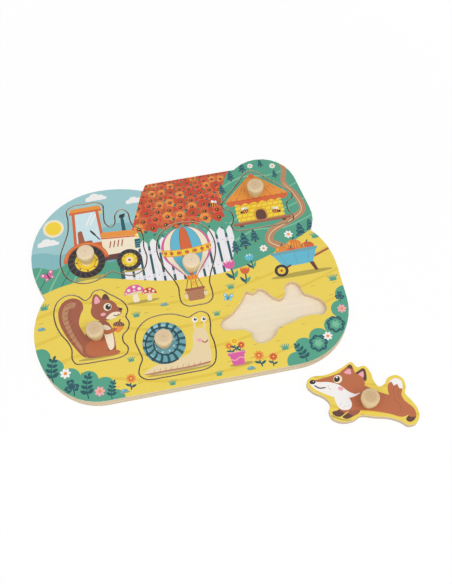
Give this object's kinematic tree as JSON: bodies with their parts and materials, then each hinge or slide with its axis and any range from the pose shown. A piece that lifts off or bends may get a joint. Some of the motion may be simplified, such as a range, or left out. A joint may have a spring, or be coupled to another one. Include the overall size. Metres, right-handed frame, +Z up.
{
  "type": "wooden knob puzzle",
  "caption": "Flat wooden tray puzzle with shaped wells and picture pieces that lift out by turned wooden knobs; one piece lies beside its empty well.",
  "frame": {"origin": "on the tray's underside, at the middle of its outline", "axes": "+Z up, out of the picture; +X to the right along the tray's straight front edge; +Y up the picture, away from the loose piece"},
  "size_m": [0.3369, 0.3142, 0.028],
  "materials": {
    "plain_ply": "sanded bare plywood",
    "printed_ply": "plywood with a printed and lacquered picture",
    "turned_beech": "turned and sanded beech",
    "screw_steel": "plain zinc plated"
  },
  "bodies": {
    "tray": {"backing_board": "plain_ply", "frame_board": "printed_ply"},
    "tractor": {"tractor_plate": "printed_ply", "tractor_knob": "turned_beech", "tractor_screw": "screw_steel"},
    "balloon": {"balloon_plate": "printed_ply", "balloon_knob": "turned_beech", "balloon_screw": "screw_steel"},
    "hive": {"hive_plate": "printed_ply", "hive_knob": "turned_beech", "hive_screw": "screw_steel"},
    "squirrel": {"squirrel_plate": "printed_ply", "squirrel_knob": "turned_beech", "squirrel_screw": "screw_steel"},
    "snail": {"snail_plate": "printed_ply", "snail_knob": "turned_beech", "snail_screw": "screw_steel"},
    "fox": {"fox_plate": "printed_ply", "fox_knob": "turned_beech", "fox_screw": "screw_steel"}
  },
  "joints": [
    {"name": "tractor_lift", "type": "slide", "parent": "tray", "child": "tractor", "axis": [0, 0, 1], "range_m": [0, 0.05]},
    {"name": "balloon_lift", "type": "slide", "parent": "tray", "child": "balloon", "axis": [0, 0, 1], "range_m": [0, 0.05]},
    {"name": "hive_lift", "type": "slide", "parent": "tray", "child": "hive", "axis": [0, 0, 1], "range_m": [0, 0.05]},
    {"name": "squirrel_lift", "type": "slide", "parent": "tray", "child": "squirrel", "axis": [0, 0, 1], "range_m": [0, 0.05]},
    {"name": "snail_lift", "type": "slide", "parent": "tray", "child": "snail", "axis": [0, 0, 1], "range_m": [0, 0.05]},
    {"name": "fox_lift", "type": "slide", "parent": "tray", "child": "fox", "axis": [0, 0, 1], "range_m": [0, 0.05]}
  ]
}
